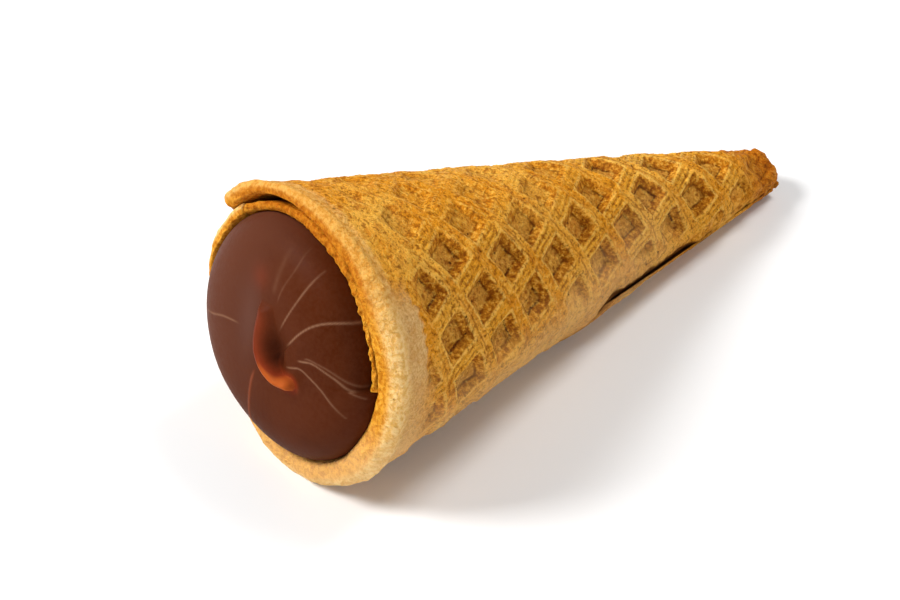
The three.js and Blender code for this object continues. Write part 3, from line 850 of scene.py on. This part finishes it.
# %% [markdown]
# Along each rib runs a bright thin edge, a painted highlight where the edge
# catches the light, and inside the pocket's foot a dark line, partly caught sugar
# and partly painted shade. A band is made from two soft steps: up where it
# begins, down where it ends.

# %% The wafer's colour


def band(value, low, high, soft, strength):
    """1 between low and high, with soft edges, times a strength."""
    up = wafer.range(value, low - soft, low + soft)
    down = wafer.range(value, high - soft, high + soft, 1.0, 0.0)
    both = wafer.times(up, down)
    return wafer.times(both, wafer.times(pressed_in, strength))


in_floor = wafer.times(wafer.range(rib_gap, 1.55, 1.72), pressed_in)
# Painted shade and bounce light: the pocket sides are painted a deeper, more saturated orange-brown.
pocket_wall_shade = band(rib_gap, 0.88, 1.62, 0.08, 0.85)
# Partly caught sugar and partly painted shade: a dark line at the pocket's foot.
foot_line_sugar_and_shade = wafer.times(band(rib_gap, 1.50, 1.68, 0.07, 1.0), wafer.range(mottle, 0.62, 0.40, 0.3, 1.0))
# Painted highlight: a bright thin line along each rib's edge.
rib_edge_highlight = wafer.times(band(rib_gap, 0.60, 0.88, 0.08, 0.7), wafer.range(mottle, 0.35, 0.58, 0.2, 1.0))
# Painted shade in the groove along the middle of each over-rib.
over_groove_shade = wafer.times(band(over_gap, -0.12, 0.10, 0.07, 0.7), wafer.range(patches, 0.40, 0.58, 0.1, 1.0))
on_over = wafer.range(over_gap, 0.90, 0.78)
# Painted shade in the grooves between the fine ridges of the under-ribs.
stripe_groove_shade = wafer.maths("COSINE", wafer.times(under_gap, 2 * math.pi / RIDGE_PITCH))
stripe_groove_shade = wafer.times(wafer.range(stripe_groove_shade, -0.1, -0.7), wafer.range(under_gap, 0.86, 0.74))
stripe_groove_shade = wafer.times(stripe_groove_shade, wafer.maths("SUBTRACT", 1.0, on_over))
stripe_groove_shade = wafer.times(stripe_groove_shade, wafer.range(mottle, 0.62, 0.38, 0.15, 1.0))
stripe_groove_shade = wafer.times(stripe_groove_shade, wafer.times(pressed_in, 0.7))
rib_tone = wafer.blend(wafer.range(patches, 0.40, 0.60), rgb(218, 141, 24), rgb(230, 166, 60))
floor_tone = wafer.blend(wafer.range(mottle, 0.35, 0.65), rgb(186, 122, 32), rgb(214, 158, 68))
tone = wafer.blend(in_floor, rib_tone, floor_tone)
tone = wafer.blend(wafer.range(mottle, 0.48, 0.66, 0.0, 0.6), tone, rgb(186, 106, 6))
# The colour of the painted shade on the pocket sides.
pocket_wall_shade_tone = wafer.blend(wafer.range(sand, 0.42, 0.58), rgb(148, 80, 4), rgb(200, 130, 26))
block = wafer.times(wafer.range(under_gap, 0.86, 0.74), wafer.maths("SUBTRACT", 1.0, on_over))
tone = wafer.blend(wafer.times(block, wafer.times(pressed_in, 0.45)), tone, rgb(240, 172, 50))
tone = wafer.blend(pocket_wall_shade, tone, pocket_wall_shade_tone)
tone = wafer.blend(rib_edge_highlight, tone, rgb(242, 190, 90))
tone = wafer.blend(over_groove_shade, tone, rgb(160, 90, 8))
tone = wafer.blend(stripe_groove_shade, tone, rgb(162, 92, 10))
tone = wafer.blend(foot_line_sugar_and_shade, tone, rgb(70, 28, 0))
tone = wafer.blend(wafer.range(sand, 0.53, 0.62, 0.0, 0.5), tone, rgb(246, 192, 84))
tone = wafer.blend(wafer.range(sand, 0.47, 0.38, 0.0, 0.7), tone, rgb(126, 64, 4))
tone = wafer.blend(wafer.range(fine, 0.46, 0.34, 0.0, 0.45), tone, rgb(120, 62, 4))
print("wafer colour layers so far:", len(wafer.tree.nodes), "nodes")

# %% The wafer's pores, pale patch, cut faces, painted highlight and painted shade
pores = wafer.add("TexVoronoi", {"Vector": here, "Scale": 1000.0 / 0.8, "Randomness": 1.0}, feature="F1")
pore_size = wafer.range(mottle, 0.3, 0.7, 0.06, 0.22)
pore = wafer.range(wafer.maths("SUBTRACT", pores.outputs["Distance"], pore_size), 0.0, -0.1)
chosen = wafer.range(wafer.add("SeparateColor", {0: pores.outputs["Color"]}).outputs[0], 0.78, 0.88)
pore = wafer.times(pore, wafer.maths("MAXIMUM", chosen, wafer.times(in_floor, 0.9)))
pore = wafer.times(pore, wafer.maths("SUBTRACT", 1.0, cut))
tone = wafer.blend(wafer.times(pore, 0.9), tone, rgb(74, 34, 2))
pale_tone = wafer.blend(wafer.range(fine, 0.3, 0.7), rgb(198, 150, 88), rgb(222, 182, 122))
pale_tone = wafer.blend(wafer.range(mottle, 0.5, 0.7, 0.0, 0.5), pale_tone, rgb(196, 138, 62))
tone = wafer.blend(wafer.times(pale_patch, 0.9), tone, pale_tone)
# Painted highlight on the rim's round bead.
bead_highlight_tone = wafer.blend(wafer.range(sand, 0.40, 0.60), rgb(234, 182, 98), rgb(252, 218, 152))
tone = wafer.blend(wafer.times(bead_highlight, 0.8), tone, bead_highlight_tone)
crumb_tone = wafer.blend(wafer.range(sand, 0.38, 0.60), rgb(192, 116, 16), rgb(226, 158, 46))
tone = wafer.blend(wafer.times(cut, 0.8), tone, crumb_tone)
place = wafer.add("SeparateXYZ", {0: here})
low_side = wafer.times(wafer.range(place.outputs["Z"], 0.014, 0.007, 0.0, 0.4),
                       wafer.range(place.outputs["Y"], 0.020, 0.004))
tone = wafer.blend(low_side, tone, rgb(228, 186, 130))
# Browner and more orange towards the tip and over the top of the rim.
browner_tip_and_top_rim = wafer.range(place.outputs["Y"], 0.027, 0.032, 0.0, 0.85)
high_rim = wafer.times(wafer.maths("MAXIMUM", cut, bead_highlight), wafer.range(place.outputs["Z"], 0.020, 0.027))
browner_tip_and_top_rim = wafer.maths("MAXIMUM", browner_tip_and_top_rim, wafer.times(high_rim, 0.8))
tone = wafer.blend(browner_tip_and_top_rim, tone, (0.72, 0.50, 0.14, 1.0), "MULTIPLY")
# Painted shade: dark brown in the seam, the crevices, the strip by the cut end and the sheet's inside.
tone = wafer.blend(wafer.times(painted_shade, 0.85), tone, rgb(92, 46, 8))
print("wafer colour layers:", len(wafer.tree.nodes), "nodes")

# %% The wafer's grain and gloss
relief = wafer.maths("MULTIPLY_ADD", sand, 1.0, wafer.times(fine, 0.5))
relief = wafer.maths("MULTIPLY_ADD", rib_edge_highlight, 0.4, relief)
relief = wafer.maths("MULTIPLY_ADD", over_groove_shade, -0.4, relief)
relief = wafer.maths("MULTIPLY_ADD", stripe_groove_shade, -0.4, relief)
relief = wafer.maths("MULTIPLY_ADD", pore, -0.8, relief)
grain_bump = wafer.add("Bump", {"Height": relief, "Strength": 1.0, "Distance": 0.00034})
satin = wafer.range(sand, 0.3, 0.7, 0.8, 0.6)
wafer.food_surface(tone, satin, grain_bump, {
    "Specular IOR Level": 0.08, "Subsurface Weight": 0.12,
    "Subsurface Radius": (1.0, 0.45, 0.15), "Subsurface Scale": 0.0009,
})
for piece in (outer_turn, inner_turn):
    piece.data.materials.append(wafer.material)
print("wafer material:", len(wafer.tree.nodes), "nodes")

# %% [markdown]
# ### The chocolate
#
# Set milk chocolate has a soft satin shine and lets a little light in. The
# orange-red glow on the hook's flank is painted into the colour, as are a paler,
# greyer sheen over the dome's left side, a hazy reflection beside the hook, the
# shade on the hook's inner side, and glints along the threads. Fine mottling
# keeps the dome from looking like plastic.

# %% The chocolate's colour and shine
milk = Shade("milk_chocolate")
choc_here = milk.add("TexCoord").outputs["Object"]
cloud = milk.grains(choc_here, 6.0, 2.0, 0.5)
speck = milk.grains(choc_here, 0.45, 3.0, 0.6)
brown = milk.blend(milk.range(cloud, 0.35, 0.65), rgb(68, 26, 5), rgb(75, 31, 9))
# Painted sheen on the dome's left side.
brown = milk.blend(milk.times(milk.fact("left_sheen"), 0.85), brown, rgb(90, 50, 35))
brown = milk.blend(milk.range(speck, 0.3, 0.7, 0.0, 0.3), brown, rgb(86, 46, 28))
brown = milk.blend(milk.times(milk.fact("dark"), 0.75), brown, rgb(42, 11, 2))
# Painted reflection beside the hook.
brown = milk.blend(milk.times(milk.fact("haze_reflection"), 0.55), brown, rgb(92, 60, 50))
# Painted glow on the hook's flank.
brown = milk.blend(milk.times(milk.fact("painted_glow"), 0.9), brown, rgb(134, 50, 24))
brown = milk.blend(milk.range(milk.fact("painted_glow"), 0.70, 1.0, 0.0, 0.7), brown, rgb(176, 88, 32))
# Painted highlights: glints along the threads.
brown = milk.blend(milk.times(milk.fact("red_thread_glint"), 0.9), brown, rgb(124, 62, 38))
brown = milk.blend(milk.times(milk.fact("thread_glint"), 0.95), brown, rgb(134, 96, 72))
choc_bump = milk.add("Bump", {"Height": speck, "Strength": 0.25, "Distance": 0.00006})
shine = milk.range(speck, 0.3, 0.7, 0.44, 0.54)
milk.food_surface(brown, shine, choc_bump, {
    "Specular IOR Level": 0.06, "IOR": 1.3, "Subsurface Weight": 0.1,
    "Subsurface Radius": (1.0, 0.35, 0.15), "Subsurface Scale": 0.0008,
})
chocolate.data.materials.append(milk.material)
print("chocolate material:", len(milk.tree.nodes), "nodes")

# %% [markdown]
# ## Hang each piece on the part's body
#
# Every piece rides on the part's one body. The fine sheet pieces stand for the
# solid wafer, and the fine dome for the solid chocolate.

# %% Pieces and bodies
for piece in (outer_turn, inner_turn):
    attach(piece, "root")
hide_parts("wafer_cone")
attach(chocolate, "root")
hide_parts("chocolate_filling")

# %% [markdown]
# ## Floor, light and camera
#
# A plain pale floor and large soft lights, as in a food studio: the strongest
# from the front left, one from above and behind that grazes the top, and a weak
# one from the front right that opens the shadows. An even pale sky does the
# rest. The camera looks down at the cone from its front right.

# %% The floor
floor_mesh = bpy.data.meshes.new("floor")
floor_mesh.from_pydata([(-3, -3, 0), (3, -3, 0), (3, 3, 0), (-3, 3, 0)], [], [(0, 1, 2, 3)])
floor = bpy.data.objects.new("floor", floor_mesh)
bpy.context.scene.collection.objects.link(floor)
table = Shade("pale_table")
table_surface = table.add("BsdfPrincipled", {"Base Color": (0.86, 0.86, 0.86, 1.0), "Roughness": 0.7})
table.add("OutputMaterial", {"Surface": table_surface.outputs["BSDF"]})
floor.data.materials.append(table.material)
print("floor at height 0")

# %% The lights and the sky
SKY_STRENGTH = 0.24


def soft_light(name, direction, distance, size, power):
    """A square area light that faces the cone from a direction."""
    light = bpy.data.lights.new(name, "AREA")
    light.size = size
    light.energy = power
    lamp = bpy.data.objects.new(name, light)
    lamp.location = Vector(direction).normalized() * distance
    lamp.rotation_euler = (-lamp.location).to_track_quat("-Z", "Y").to_euler()
    bpy.context.scene.collection.objects.link(lamp)
    return lamp


soft_light("front", (-0.50, -0.75, 0.85), 0.6, 0.22, 4.0)
soft_light("over", (0.10, 0.55, 1.00), 0.6, 0.22, 1.9)
soft_light("side", (0.75, -0.60, 0.45), 0.8, 0.30, 1.3)
sky = bpy.data.worlds.new("sky")
bpy.context.scene.world = sky
sky.use_nodes = True
sky.node_tree.nodes["Background"].inputs["Color"].default_value = (1.0, 1.0, 1.0, 1.0)
sky.node_tree.nodes["Background"].inputs["Strength"].default_value = SKY_STRENGTH
bpy.context.scene.view_settings.view_transform = "Standard"

# %% The camera
CAMERA_AIM = Vector(MOUTH_CENTRE * 0.001) + Vector((0.007775, 0.01317, 0.00256))
CAMERA_DISTANCE, CAMERA_AZIMUTH, CAMERA_HEIGHT, CAMERA_ROLL = 0.2363, 48.97, 39.72, 0.18
azimuth, height_angle = math.radians(CAMERA_AZIMUTH), math.radians(CAMERA_HEIGHT)
toward = Vector((-math.sin(azimuth) * math.cos(height_angle),
                 math.cos(azimuth) * math.cos(height_angle), -math.sin(height_angle)))
lens = bpy.data.cameras.new("camera")
lens.lens, lens.sensor_width = 100.0, 36.0
lens.clip_start, lens.clip_end = 0.01, 20.0
camera = bpy.data.objects.new("camera", lens)
camera.location = CAMERA_AIM - toward * CAMERA_DISTANCE
turned = toward.to_track_quat("-Z", "Y") @ Quaternion((0, 0, 1), math.radians(CAMERA_ROLL))
camera.rotation_euler = turned.to_euler()
bpy.context.scene.collection.objects.link(camera)
bpy.context.scene.camera = camera
print("camera at", [round(c, 4) for c in camera.location])
